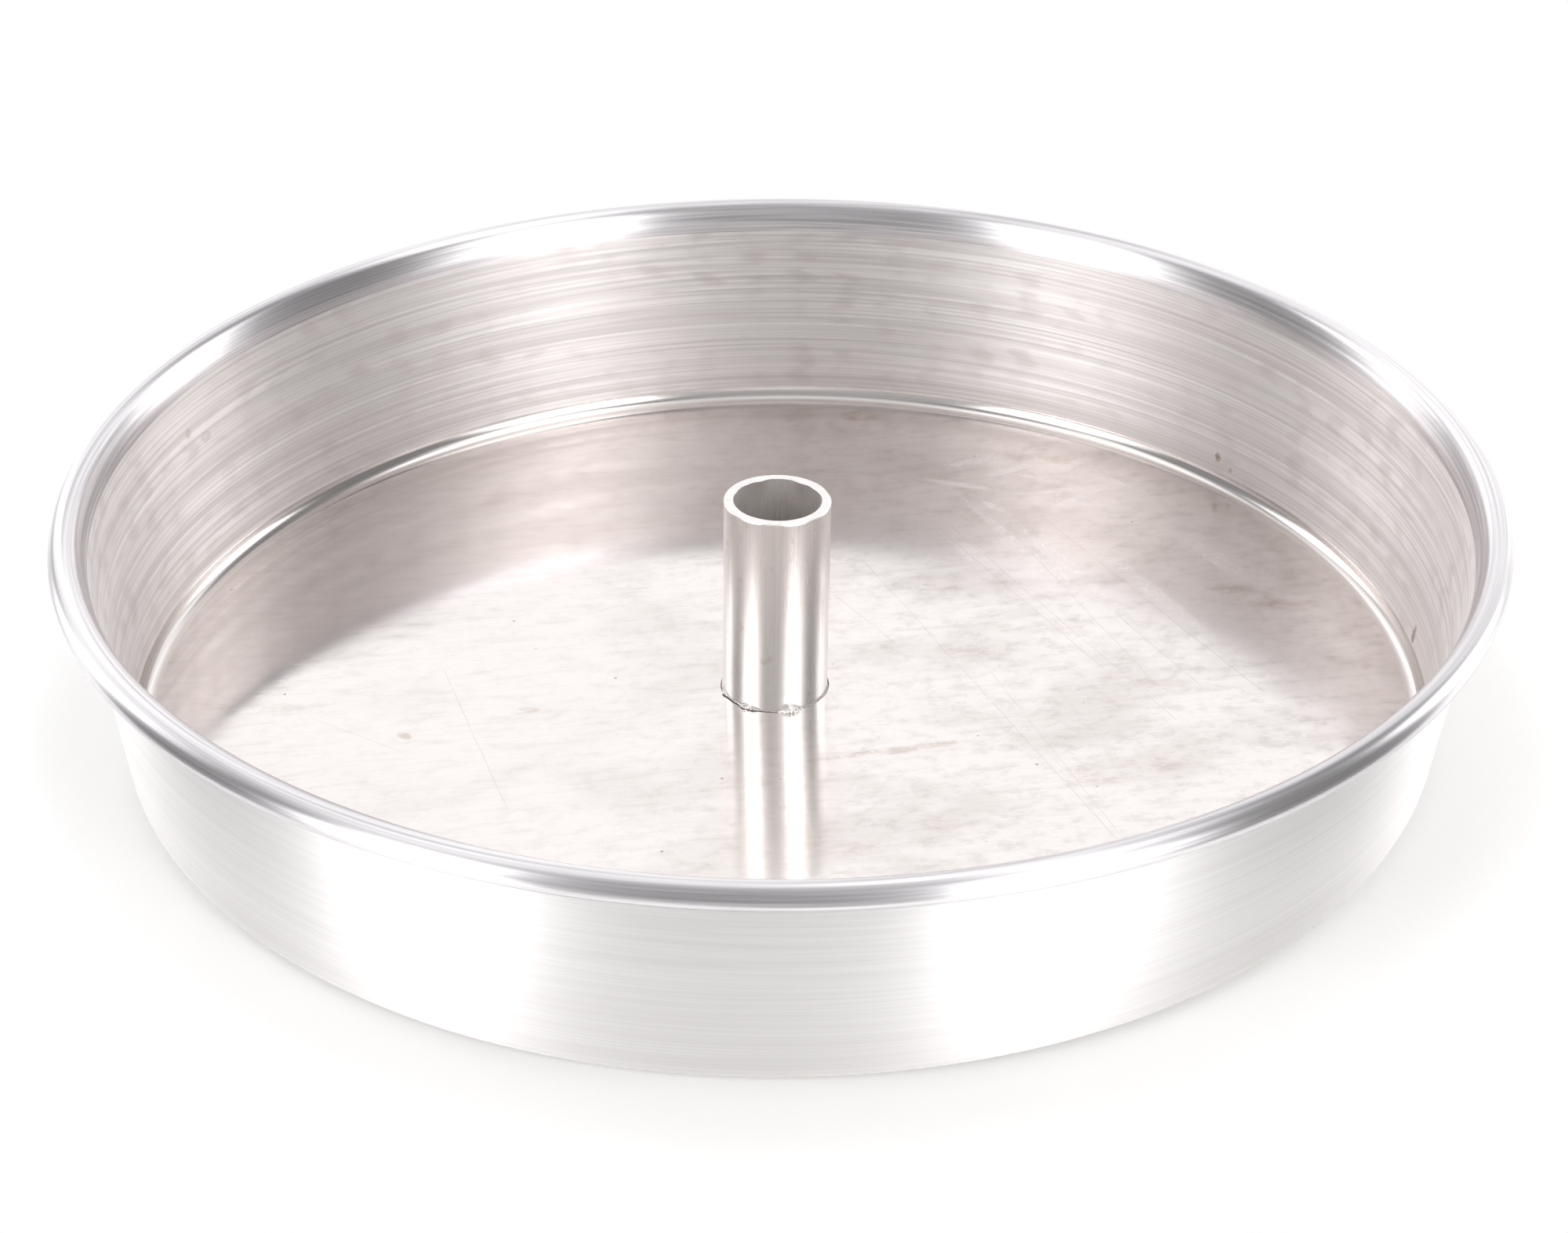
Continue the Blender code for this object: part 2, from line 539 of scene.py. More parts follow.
@dataclass(frozen=True)
class DrawnMetal(Metal):
    """Metal pulled through a die: fine lines along the piece."""

    line_width: float = 0.35 * MM
    line_length: float = 30 * MM
    relief: float = 0.004 * MM
    smudge: Colour = (0.62, 0.57, 0.53)

    def surface(self, graph: Graph) -> dict[str, Any]:
        """What varies, as inputs of the shader."""
        x, y, z = graph.place()
        width, length = self.line_width, self.line_length
        lines = graph.noise(graph.join(x / width, y / width, z / length), 2.0, 2.0)
        wide = graph.noise(graph.join(x / (1.6 * MM), y / (1.6 * MM), z / length), 5.0, 2.0)
        marks = graph.noise(graph.join(x / (2 * MM), y / (2 * MM), z / (3 * MM)), 8.0, 4.0)
        tone = (lines * 0.6 + wide * 0.4).eased(0.3, 0.68)
        smudges = marks.eased(0.58, 0.75) * 0.45
        base = graph.blend(tone, self.dull, self.bright)
        return {
            "Base Color": graph.blend(smudges, base, self.smudge),
            "Roughness": self.roughness * (1.1 - 0.25 * tone + 0.4 * smudges),
            "Normal": graph.bump(lines * 0.7 + wide * 0.3, self.relief),
        }


@dataclass(frozen=True)
class CutMetal(Metal):
    """Metal left by a saw or a grinder: short straight strokes with a few deeper ones."""

    stroke_width: float = 0.16 * MM
    stroke_length: float = 5 * MM
    depth: float = 0.02 * MM

    def surface(self, graph: Graph) -> dict[str, Any]:
        """What varies, as inputs of the shader."""
        x, y, z = graph.place()
        width, length = self.stroke_width, self.stroke_length
        strokes = graph.noise(graph.join(x / length, y / width, z / width), 1.0, 2.0)
        patches = graph.noise(graph.join(x / (2 * MM), y / (2 * MM), z / (2 * MM)), 4.0, 3.0)
        tone = (strokes * 0.6 + patches * 0.4).eased(0.32, 0.66)
        return {
            "Base Color": graph.blend(tone, self.dull, self.bright),
            "Roughness": self.roughness * (1.15 - 0.3 * tone),
            "Normal": graph.bump(strokes, self.depth),
        }


@dataclass(frozen=True)
class MoltenMetal(Metal):
    """Metal that ran and set: glossy, lumpy, with a darker skin in the hollows."""

    lump: float = 0.5 * MM
    relief: float = 0.18 * MM

    def surface(self, graph: Graph) -> dict[str, Any]:
        """What varies, as inputs of the shader."""
        x, y, z = graph.place()
        size = self.lump
        lumps = graph.noise(graph.join(x / size, y / size, z / size), 6.0, 3.0, distortion=0.5)
        skin = lumps.eased(0.35, 0.55)
        return {
            "Base Color": graph.blend(skin, self.dull, self.bright),
            "Roughness": self.roughness * (1.6 - 0.8 * skin),
            "Normal": graph.bump(lumps, self.relief),
        }


@dataclass(frozen=True)
class TableTop:
    """The plain pale floor under the pan, which glows to stay white and glows less near the pan as
    a painted shadow.
    """

    colour: Colour = (0.92, 0.92, 0.92)
    shade: Colour = (0.892, 0.89, 0.882)
    glow: float = 0.4
    # The glow near the pan is dimmer and comes up to full between the two radii below: a painted
    # shadow of the pan on the table.
    shadowed_glow: Colour = (0.23, 0.225, 0.215)
    far_glow: Colour = (1.0, 1.0, 1.0)
    painted_shadow_fade_start: float = 124 * MM
    painted_shadow_fade_end: float = 165 * MM
    cloud: float = 0.3

    def material(self) -> bpy.types.Material:
        """Make the finish as a material."""
        material = bpy.data.materials.new("table_top")
        material.use_nodes = True
        graph = Graph(material.node_tree)
        x, y, _ = graph.place()
        soft = graph.noise(graph.join(x / self.cloud, y / self.cloud, 0.0), 1.0, 2.0)
        # Painted shadow: the emission is dim near the pan and full from the outer radius out.
        away = (x * x + y * y).root().eased(self.painted_shadow_fade_start, self.painted_shadow_fade_end)
        inputs = {
            "Base Color": graph.blend(soft.eased(0.35, 0.65), self.shade, self.colour),
            "Emission Color": graph.blend(away, self.shadowed_glow, self.far_glow),
            "Emission Strength": self.glow,
            "Roughness": 0.9,
            "Specular IOR Level": 0.2,
        }
        shader = graph.node("ShaderNodeBsdfPrincipled", inputs=inputs)
        graph.add("ShaderNodeOutputMaterial", inputs={"Surface": shader})
        return material


# ---- mesh building


class Zone(IntEnum):
    """Part of a piece's surface, which is also the number of its material."""

    FLOOR = 0
    CORNER = 1
    INSIDE = 2
    BEAD = 3
    OUTSIDE = 4
    UNDERSIDE = 5


class TubeZone(IntEnum):
    """Part of the tube's surface, which is also the number of its material."""

    OUTSIDE = 0
    END = 1
    BORE = 2


class Slot(Enum):
    """The record's material slots."""

    PAN = "spun_aluminium"
    TUBE = "drawn_aluminium"
    GROUND = "ground_weld"
    BRIGHT = "bright_weld"


@dataclass
class Section:
    """The outline of a turned piece, walked once round, with a zone for each step."""

    points: list[Point]
    zones: list[int] = field(default_factory=list)
    same: float = 0.002 * MM

    def line(self, end: Point, zone: int, step: float) -> None:
        """Go straight to a point.

        Args:
            end: Where to go, as (radius, height).
            zone: The zone passed through.
            step: The longest step, in metres.
        """
        first = self.points[-1]
        count = max(1, math.ceil(math.dist(first, end) / step))
        for i in range(1, count + 1):
            share = i / count
            self.points.append(tuple(a + (b - a) * share for a, b in zip(first, end)))
            self.zones.append(zone)

    def arc(
        self, centre: Point, radius: float, start: float, end: float, zone: int, step: float
    ) -> None:
        """Go round an arc, with a straight step to its start if it isn't there yet.

        Args:
            centre: The arc's centre, as (radius, height).
            radius: The arc's radius.
            start: The angle it starts at, in radians.
            end: The angle it ends at, in radians.
            zone: The zone passed through.
            step: The largest step, in radians.
        """
        count = max(2, math.ceil(abs(end - start) / step))
        for i in range(count + 1):
            angle = start + (end - start) * i / count
            here = (centre[0] + radius * math.cos(angle), centre[1] + radius * math.sin(angle))
            if math.dist(self.points[-1], here) > self.same:
                self.zones.append(zone)
                self.points.append(here)

    def close(self, zone: int) -> Section:
        """Go back to the first point."""
        self.zones.append(zone)
        return self


# ---- the pieces


@dataclass
class TubeStance:
    """Where the tube stands and how it leans."""

    centre: Vector = field(default_factory=lambda: Vector((-1.05 * MM, -1.3 * MM, 0.0)))
    lean: float = math.radians(1.15)
    radius: float = 9.525 * MM
    wall: float = 1.65 * MM
    height: float = 38.1 * MM
    gap: float = 0.3 * MM

    @property
    def hole(self) -> float:
        """Radius of the hole that it stands in."""
        return self.radius + self.gap

    def matrix(self, height: float) -> Matrix:
        """Place of the tube's own frame.

        Args:
            height: How high its foot stands.

        Returns:
            Its matrix.
        """
        foot = self.centre + Vector((0.0, 0.0, height))
        return Matrix.Translation(foot) @ Euler((0.0, self.lean, 0.0)).to_matrix().to_4x4()


@dataclass
class TurnedPiece:
    """A closed section carried round an axis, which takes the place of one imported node."""

    name: ClassVar[str]
    node: ClassVar[str]
    slot: ClassVar[Slot]
    sharp: ClassVar[float] = math.radians(40.0)
    foot: ClassVar[float | None] = None  # height of a leaning piece's own frame
    stance: TubeStance
    segments: int = 192

    def section(self) -> Section:
        """The piece's closed outline."""
        raise NotImplementedError

    def place(self, radius: float, height: float, angle: float) -> Vector:
        """Put a point of the section at an angle.

        Args:
            radius: Its distance from the axis.
            height: Its height.
            angle: The angle round the axis.

        Returns:
            The point, in the piece's own frame.
        """
        raise NotImplementedError

    def finishes(self) -> Sequence[Metal]:
        """The piece's finishes, in the order of its zones."""
        raise NotImplementedError

    def mesh(self) -> bpy.types.Mesh:
        """Carry the section round the axis."""
        bm = bmesh.new()
        section = self.section()
        turns = [2 * math.pi * k / self.segments for k in range(self.segments)]
        rings = [
            [bm.verts.new(self.place(radius, height, turn)) for turn in turns]
            for radius, height in section.points
        ]
        for i, ring in enumerate(rings):
            after = rings[(i + 1) % len(rings)]
            for k in range(self.segments):
                n = (k + 1) % self.segments
                face = bm.faces.new((ring[k], ring[n], after[n], after[k]))
                face.material_index = int(section.zones[i])
                face.smooth = True
        bmesh.ops.recalc_face_normals(bm, faces=bm.faces)
        mesh = bpy.data.meshes.new(self.name)
        bm.to_mesh(mesh)
        bm.free()
        mesh.set_sharp_from_angle(angle=self.sharp)
        for finish in self.finishes():
            mesh.materials.append(finish.material())
        return mesh

    def build(self) -> bpy.types.Object:
        """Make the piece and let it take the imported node's place on the pan's one body."""
        piece = bpy.data.objects.new(self.name, self.mesh())
        bpy.context.scene.collection.objects.link(piece)
        if self.foot is not None:
            piece.matrix_world = self.stance.matrix(self.foot)
        bpy.context.view_layer.update()
        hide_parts(self.node)
        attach(piece, "root")
        return piece


@dataclass
class PanShell(TurnedPiece):
    """The pan: one sheet spun from a disc, with its rim rolled outward into a hollow bead."""

    name = "spun_pan"
    node = "pan_shell"
    slot = Slot.PAN
    sheet: float = 1.3 * MM
    bead_diameter: float = 4.8 * MM
    wall_tilt: float = math.radians(8.0)
    corner_radius: float = 3.0 * MM
    neck_height: float = 39.0 * MM
    neck_radius: float = 121.2 * MM
    neck_blend: float = 1.6 * MM
    curl_end: float = math.radians(235.0)
    groove_depth: float = 1.0 * MM
    groove_radius: float = 12.5 * MM
    floor_wave: float = 0.05 * MM
    floor_wave_length: float = 34 * MM
    wall_wave: float = 0.02 * MM
    wall_wave_height: float = 9 * MM
    out_of_round: float = 1.0 * MM
    wide_bead: Marks = ((219.0, 1.05, 30.0),)
    box_gap: float = 0.002 * MM
    segments: int = 320

    def __post_init__(self) -> None:
        """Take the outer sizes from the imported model."""
        _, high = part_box(self.node)
        self.rim_radius = high.x
        self.height = high.z
        self.bead_radius = self.bead_diameter / 2
        self.bead_centre = (self.rim_radius - self.bead_radius, self.height - self.bead_radius)

    def neck_tilt(self) -> float:
        """Tilt of the short neck between wall and bead, tangent to the bead."""
        across = self.bead_centre[0] - self.neck_radius
        up = self.bead_centre[1] - self.neck_height
        return math.acos(self.bead_radius / math.hypot(across, up)) - math.atan2(up, across)

    def corner(self) -> Point:
        """Centre of the corner between floor and wall."""
        height = self.sheet + self.corner_radius
        wall = self.neck_radius - (self.neck_height - height) * math.tan(self.wall_tilt)
        return (wall - self.corner_radius / math.cos(self.wall_tilt), height)

    def neck_bend(self, outside: bool) -> list[Point]:
        """Short rounded bend from wall to neck.

        Args:
            outside: Whether it is on the outer face.

        Returns:
            Its points, going up.
        """
        tilt = self.neck_tilt()
        half = (tilt - self.wall_tilt) / 2
        middle = self.wall_tilt + half
        away = self.sheet / math.cos(half) if outside else 0.0
        side = Vector((math.cos(middle), -math.sin(middle)))
        peak = Vector((self.neck_radius, self.neck_height)) + side * away
        down = Vector((math.sin(self.wall_tilt), math.cos(self.wall_tilt)))
        below = peak - down * self.neck_blend
        above = peak + Vector((math.sin(tilt), math.cos(tilt))) * self.neck_blend * 0.5
        points = []
        for i in range(5):
            t = i / 4
            here = below * (1 - t) ** 2 + peak * 2 * t * (1 - t) + above * t * t
            points.append((here.x, here.y))
        return points

    def section(self) -> Section:
        """The sheet's closed outline, from the hole's upper edge over the bead and back below."""
        corner, inner, outer = self.corner(), self.corner_radius, self.corner_radius + self.sheet
        tilt = self.neck_tilt()
        bead_start, bead_end = math.pi - tilt, self.curl_end - 2 * math.pi
        hollow = self.bead_radius - self.sheet
        lip = self.sheet / 2
        lip_centre = (
            self.bead_centre[0] + (self.bead_radius - lip) * math.cos(bead_end),
            self.bead_centre[1] + (self.bead_radius - lip) * math.sin(bead_end),
        )
        hole, fine, coarse = self.stance.hole, math.radians(9.0), math.radians(30.0)
        outline = Section([(hole + 0.06 * MM, self.sheet)])
        outline.line((corner[0], self.sheet), Zone.FLOOR, 2.2 * MM)
        outline.arc(corner, inner, -math.pi / 2, -self.wall_tilt, Zone.CORNER, fine)
        foot, *bend = self.neck_bend(outside=False)
        outline.line(foot, Zone.INSIDE, 1.6 * MM)
        for point in bend:
            outline.line(point, Zone.BEAD, 1.6 * MM)
        for start, end in ((bead_start, math.pi / 2), (math.pi / 2, 0.0), (0.0, bead_end)):
            outline.arc(self.bead_centre, self.bead_radius, start, end, Zone.BEAD, fine)
        outline.arc(lip_centre, lip, bead_end, bead_end - math.pi, Zone.BEAD, coarse)
        outline.arc(self.bead_centre, hollow, bead_end, bead_start, Zone.OUTSIDE, 2 * fine)
        for point in reversed(self.neck_bend(outside=True)):
            outline.line(point, Zone.OUTSIDE, 2.5 * MM)
        across, down = outer * math.cos(self.wall_tilt), outer * math.sin(self.wall_tilt)
        outline.line((corner[0] + across, corner[1] - down), Zone.OUTSIDE, 2.5 * MM)
        outline.arc(corner, outer, -self.wall_tilt, -math.pi / 2, Zone.OUTSIDE, fine)
        outline.line((self.groove_radius, 0.0), Zone.UNDERSIDE, 4 * MM)
        outline.line((hole, self.groove_depth), Zone.UNDERSIDE, 1.5 * MM)
        outline.line((hole, self.sheet - 0.06 * MM), Zone.FLOOR, 1 * MM)
        return outline.close(Zone.FLOOR)

    def place(self, radius: float, height: float, angle: float) -> Vector:
        """Put a point of the section at an angle, with the small errors of a spun sheet.

        Args:
            radius: Its distance from the axis.
            height: Its height.
            angle: The angle round the axis.

        Returns:
            The point.
        """
        hole = self.stance.hole
        shift = self.stance.centre * (1.0 - smoothstep(radius, self.groove_radius, 40 * MM))
        rise = smoothstep(height, self.sheet, self.height)
        swell = self.out_of_round
        oval = rise * swell * (math.sin(2 * angle) + 2 * swell / self.rim_radius)
        outward = smoothstep(radius, self.bead_centre[0] - 0.8 * MM, self.rim_radius)
        radius += bumps(angle, self.wide_bead) * rise * outward - oval
        x, y = math.cos(angle), math.sin(angle)
        radius = min(radius, (self.rim_radius - self.box_gap) / max(abs(x), abs(y)))
        if height > 6 * MM:
            ripple = noise.noise(Vector((x * 5.0, y * 5.0, height / self.wall_wave_height)))
            fade = smoothstep(self.height - height, 3 * MM, 8 * MM)
            radius += self.wall_wave * ripple * fade
        point = Vector((x * radius, y * radius, height)) + shift
        if abs(height - self.sheet) < 0.01 * MM:
            length = self.floor_wave_length
            wave = noise.noise(Vector((point.x / length, point.y / length, 0.4)))
            fade = smoothstep(radius, hole + 1 * MM, hole + 12 * MM)
            fade *= smoothstep(self.corner()[0] - radius, 0.0, 12 * MM)
            point.z += self.floor_wave * wave * fade
        return point

    def finishes(self) -> Sequence[Metal]:
        """The pan's finishes, in the order of its zones."""
        floor = PressedMetal(
            "pressed_floor", (0.925, 0.878, 0.862), (0.68, 0.625, 0.60), 0.08,
            scratches=(
                (16, 45, 57, -53, 0.2), (33, 60, 71, -15, 0.18), (46, 55, 69, -4, 0.18),
                (63, 24, 77, -4, 0.18), (38, 4, 57, -50, 0.18), (-62, 5, -47, -42, 0.18),
                (-84, -12, -66, -24, 0.18), (28, 64, 60, 2, 0.2), (52, 62, 88, -6, 0.2),
                (1, 47, 22, 12, 0.2),
            ),
            stains=(
                (54, 88, 11, 4, -8, 0.5), (89, 30, 9, 4, -30, 0.7), (97, 26, 6, 3, 10, 0.6),
                (20, -24, 17, 1.4, 12, 0.8), (17, 107, 5, 3, 0, 0.9), (60, -30, 16, 6, 20, 0.3),
                (-96, -8, 14, 3, -10, 0.3), (-46, -10, 3, 1.4, 10, 0.9),
                (-67, -18, 2, 1.2, -40, 0.9),
            ),
            strokes=(
                (47, 82, 8, 1.3, 28, 1), (55, 77, 9, 1.4, -24, 1), (60, 70, 8, 1.2, 38, 1),
                (51, 72, 7, 1.1, 8, 0.9), (66, 78, 7, 1.5, -40, 0.8), (43, 66, 6, 1.2, -50, 0.7),
                (38, 46, 7, 3.2, -62, 0.5), (55, 40, 12, 3, -64, 0.4), (-22, 92, 12, 4, 10, 0.5),
                (-30, 66, 14, 3, 24, 0.4), (90, -20, 12, 4, 30, 0.4), (36, 76, 9, 1.2, -18, 0.9),
                (40, 86, 8, 1.6, 20, 0.8), (60, 84, 6, 1.2, 50, 0.8), (47, 50, 30, 1.6, -63, 0.6),
                (58, 36, 34, 1.8, -64, 0.6), (72, 30, 24, 2.2, -63, 0.5),
                (33, 20, 26, 2.4, -64, 0.5), (84, 46, 14, 3, -58, 0.5),
                (-58, 62, 16, 2, 14, 0.35),
            ),
        )
        corner = SpunMetal(
            "burnished_corner", (0.92, 0.885, 0.87), (0.74, 0.70, 0.68), 0.2,
            anisotropic=0.5, fine_pitch=0.3 * MM, ring_pitch=0.9 * MM,
        )
        inside = SpunMetal(
            "spun_inside", (0.985, 0.95, 0.94), (0.755, 0.712, 0.70), 0.60,
            anisotropic=0.84, metallic=0.86, fine_pitch=0.5 * MM, line_depth=0.005 * MM,
            # The wall's foot gets a quarter-strength painted shade.
            dab_share=0.4, painted_foot_shade=0.25,
            spots=(
                (40.8, 7, 1, 1.2, 0.85), (39, 5.4, 0.7, 0.6, 0.6), (3.5, 6, 1.3, 2.2, 0.75),
                (156, 27, 2.2, 1.4, 0.2), (158.5, 30, 1.2, 1.2, 0.2),
            ),
        )
        bead = SpunMetal(
            "rolled_bead", (0.95, 0.93, 0.945), (0.58, 0.56, 0.58), 0.31,
            anisotropic=0.65, fine_pitch=0.55 * MM, ring_pitch=1.2 * MM, line_depth=0.02 * MM,
        )
        outside = SpunMetal(
            "spun_outside", (0.93, 0.915, 0.91), (0.86, 0.84, 0.835), 0.5,
            anisotropic=0.88, metallic=0.86, fine_pitch=0.35 * MM, ring_pitch=0.8 * MM,
            line_depth=0.002 * MM,
        )
        underside = SpunMetal(
            "turned_underside", (0.88, 0.86, 0.85), (0.66, 0.63, 0.61), 0.36,
            grain_turn=0.0, ring_pitch=2.2 * MM,
        )
        return floor, corner, inside, bead, outside, underside


@dataclass
class CentreTube(TurnedPiece):
    """A length of drawn tube, sawn off, with a burr on the bore's edge and a nicked outer edge."""

    name = "drawn_tube"
    node = "centre_tube"
    slot = Slot.TUBE
    sharp = math.radians(30.0)
    foot = 1.3 * MM
    recess: float = 0.3 * MM
    edge: float = 0.12 * MM
    segments: int = 288
    burrs: Marks = (
        (114, 0.34, 9), (134, 0.16, 10), (57, 0.34, 10), (33, 0.24, 12), (160, 0.14, 9),
        (250, 0.08, 14),
    )
    nicks: Marks = (
        (240, 0.30, 9), (205, 0.22, 7), (290, 0.26, 11), (332, 0.24, 8), (20, 0.18, 12),
        (96, 0.15, 15),
    )

    def ragged(self, angle: float, marks: Marks, grain: float) -> float:
        """Size of the raggedness of an edge at an angle.

        Args:
            angle: Where, in radians.
            marks: Its larger marks, as for bumps.
            grain: Size of the fine raggedness between them, in metres.

        Returns:
            A size in metres.
        """
        place = Vector((math.cos(angle) * 9.0, math.sin(angle) * 9.0, 2.0))
        fine = abs(noise.noise(place)) + 0.5 * abs(noise.noise(place * 2.7))
        return grain * fine + bumps(angle, marks)

    def section(self) -> Section:
        """The tube's closed outline: up the outside, over the sawn end, down the bore."""
        radius, bore = self.stance.radius, self.stance.radius - self.stance.wall
        top, bottom = self.stance.height, self.recess - self.foot
        edge = self.edge
        outline = Section([(radius, bottom + edge)])
        outline.line((radius, top - 3 * edge), TubeZone.OUTSIDE, 3 * MM)
        outline.line((radius, top - edge), TubeZone.OUTSIDE, 1 * MM)
        outline.line((radius - edge, top), TubeZone.END, 1 * MM)
        outline.line((bore + 4 * edge, top), TubeZone.END, 0.4 * MM)
        outline.line((bore, top), TubeZone.END, 0.2 * MM)
        outline.line((bore, top - 0.25 * MM), TubeZone.END, 1 * MM)
        outline.line((bore, top - 1.2 * MM), TubeZone.BORE, 1 * MM)
        outline.line((bore, bottom), TubeZone.BORE, 3 * MM)
        outline.line((radius - edge, bottom), TubeZone.END, 1 * MM)
        return outline.close(TubeZone.OUTSIDE)

    def place(self, radius: float, height: float, angle: float) -> Vector:
        """Put a point of the section at an angle, with the saw's burrs and nicks.

        Args:
            radius: Its distance from the tube's axis.
            height: Its height above the floor.
            angle: The angle round the axis.

        Returns:
            The point, in the tube's own frame.
        """
        top, bore = self.stance.height, self.stance.radius - self.stance.wall
        way = Vector((math.cos(angle), math.sin(angle), 0.0))
        if height > top - 0.3 * MM:
            burr = self.ragged(angle, self.burrs, 0.07 * MM)
            nick = self.ragged(angle, self.nicks, 0.05 * MM)
            if abs(radius - bore) < 0.01 * MM:
                drop = 0.15 if height > top - 0.1 * MM else 0.6
                return way * (radius - burr) + Vector((0.0, 0.0, height - drop * burr))
            if abs(radius - self.stance.radius) < 0.01 * MM:
                return way * radius + Vector((0.0, 0.0, height - nick))
            if abs(radius - self.stance.radius + self.edge) < 0.01 * MM:
                return way * (radius - 0.5 * nick) + Vector((0.0, 0.0, height))
        return way * radius + Vector((0.0, 0.0, height))

    def finishes(self) -> Sequence[Metal]:
        """The tube's finishes, in the order of its zones."""
        outside = DrawnMetal(
            "drawn_outside", (0.97, 0.95, 0.935), (0.87, 0.84, 0.82), 0.31,
            anisotropic=0.6, metallic=0.9,
        )
        end = CutMetal("sawn_end", (0.95, 0.94, 0.93), (0.86, 0.84, 0.83), 0.45)
        bore = DrawnMetal(
            "drawn_bore", (0.92, 0.885, 0.87), (0.74, 0.70, 0.68), 0.5,
            metallic=0.85, line_length=6 * MM,
        )
        return outside, end, bore


@dataclass
class WeldRoot(TurnedPiece):
    """The weld that came through at the tube's foot: a hair-thin line with bright drops."""

    name = "weld_drops"
    node = "weld_root"
    slot = Slot.BRIGHT
    sharp = math.radians(60.0)
    foot = 1.32 * MM
    thread: float = 0.10 * MM
    segments: int = 480
    drops: Marks = (
        (200, 0.30, 6), (236, 0.42, 7.5), (246, 0.25, 5), (282, 0.62, 5.5), (291, 0.85, 6.5),
    )

    def section(self) -> Section:
        """A quarter round of unit size on the floor, against the tube."""
        outline = Section([(0.0, 0.0)])
        outline.line((1.0, 0.0), 0, 1.0)
        outline.arc((0.0, 0.0), 1.0, 0.0, math.pi / 2, 0, math.radians(9.0))
        return outline.close(0)

    def place(self, across: float, up: float, angle: float) -> Vector:
        """Put a point of the unit section at an angle, at the weld's size there.

        Args:
            across: Its share of the size outward.
            up: Its share of the size upward.
            angle: The angle round the tube.

        Returns:
            The point, in the tube's own frame.
        """
        size = self.thread + bumps(angle, self.drops)
        way = Vector((math.cos(angle), math.sin(angle), 0.0))
        lump = 1.0 + 0.30 * noise.noise(way * 22.0 + Vector((across * 0.9, up * 0.9, 3.0)))
        swell = 1.0 + 0.35 * across * up
        inside = self.stance.radius + 0.02 * MM
        outward = size * across * lump * swell * 1.25
        return way * (inside + outward) + Vector((0.0, 0.0, size * up * lump * swell))

    def finishes(self) -> Sequence[Metal]:
        """Bright weld metal all over."""
        return (MoltenMetal("set_drops", (0.94, 0.93, 0.92), (0.72, 0.69, 0.67), 0.10),)


@dataclass
class TubeWeld(TurnedPiece):
    """The ring of weld under the pan, laid in its groove and ground flush with the base."""

    name = "ground_ring"
    node = "tube_weld"
    slot = Slot.GROUND
    groove_depth: float = 1.0 * MM
    groove_radius: float = 12.5 * MM
    recess: float = 0.1 * MM
    ripple: float = 0.05 * MM
    ripple_count: float = 44.0

    def section(self) -> Section:
        """The weld's three-sided outline, clear of the groove's slope."""
        inside = self.stance.hole
        slope = self.groove_depth / (self.groove_radius - inside)
        clearance = self.stance.gap / math.cos(math.atan(slope))
        tip = self.groove_radius - (self.recess + clearance) / slope
        outline = Section([(inside, self.groove_depth - clearance)])
        outline.line((tip, self.recess + 0.04 * MM), 0, 0.5 * MM)
        outline.line((tip - 0.06 * MM, self.recess), 0, 0.5 * MM)
        outline.line((inside + 0.06 * MM, self.recess), 0, 0.4 * MM)
        outline.line((inside, self.recess + 0.06 * MM), 0, 0.5 * MM)
        return outline.close(0)

    def place(self, radius: float, height: float, angle: float) -> Vector:
        """Put a point of the section at an angle, with the ripples of a laid weld above the cut.

        Args:
            radius: Its distance from the tube's axis.
            height: Its height.
            angle: The angle round the axis.

        Returns:
            The point.
        """
        rise = smoothstep(height, self.recess + 0.05 * MM, self.groove_depth)
        ripple = self.ripple * rise * math.sin(angle * self.ripple_count)
        x, y = math.cos(angle), math.sin(angle)
        return self.stance.centre + Vector((x * radius, y * radius, height + ripple))

    def finishes(self) -> Sequence[Metal]:
        """Ground weld metal all over."""
        finish = CutMetal(
            "ground_ring", (0.80, 0.79, 0.79), (0.56, 0.55, 0.55), 0.42,
            stroke_length=9 * MM, depth=0.03 * MM,
        )
        return (finish,)


# ---- studio and camera


@dataclass(frozen=True)
class LightPanel:
    """A broad soft light a long way off, given by its directions in degrees.

    Directions are counted from -Y, positive toward +X, and heights from the horizon.
    """

    name: str
    direction: float
    half_width: float
    low: float
    high: float
    brightness: float
    soft: float = 5.0

    def light(self, east: Value, south: Value, up: Value) -> Value:
        """How brightly it shines along a direction.

        Args:
            east: Level part of the direction toward +X, of unit length with south.
            south: Level part of the direction toward -Y.
            up: Sine of the direction's height.

        Returns:
            Its brightness there.
        """
        turn = math.radians(self.direction)
        facing = east * math.sin(turn) + south * math.cos(turn)
        wide = math.cos(math.radians(min(179.0, self.half_width + self.soft)))
        narrow = math.cos(math.radians(max(0.5, self.half_width - self.soft)))
        above = up.eased(sine(self.low - self.soft), sine(self.low + self.soft))
        below = up.eased(sine(self.high + self.soft), sine(self.high - self.soft))
        return facing.eased(wide, narrow) * above * below * self.brightness


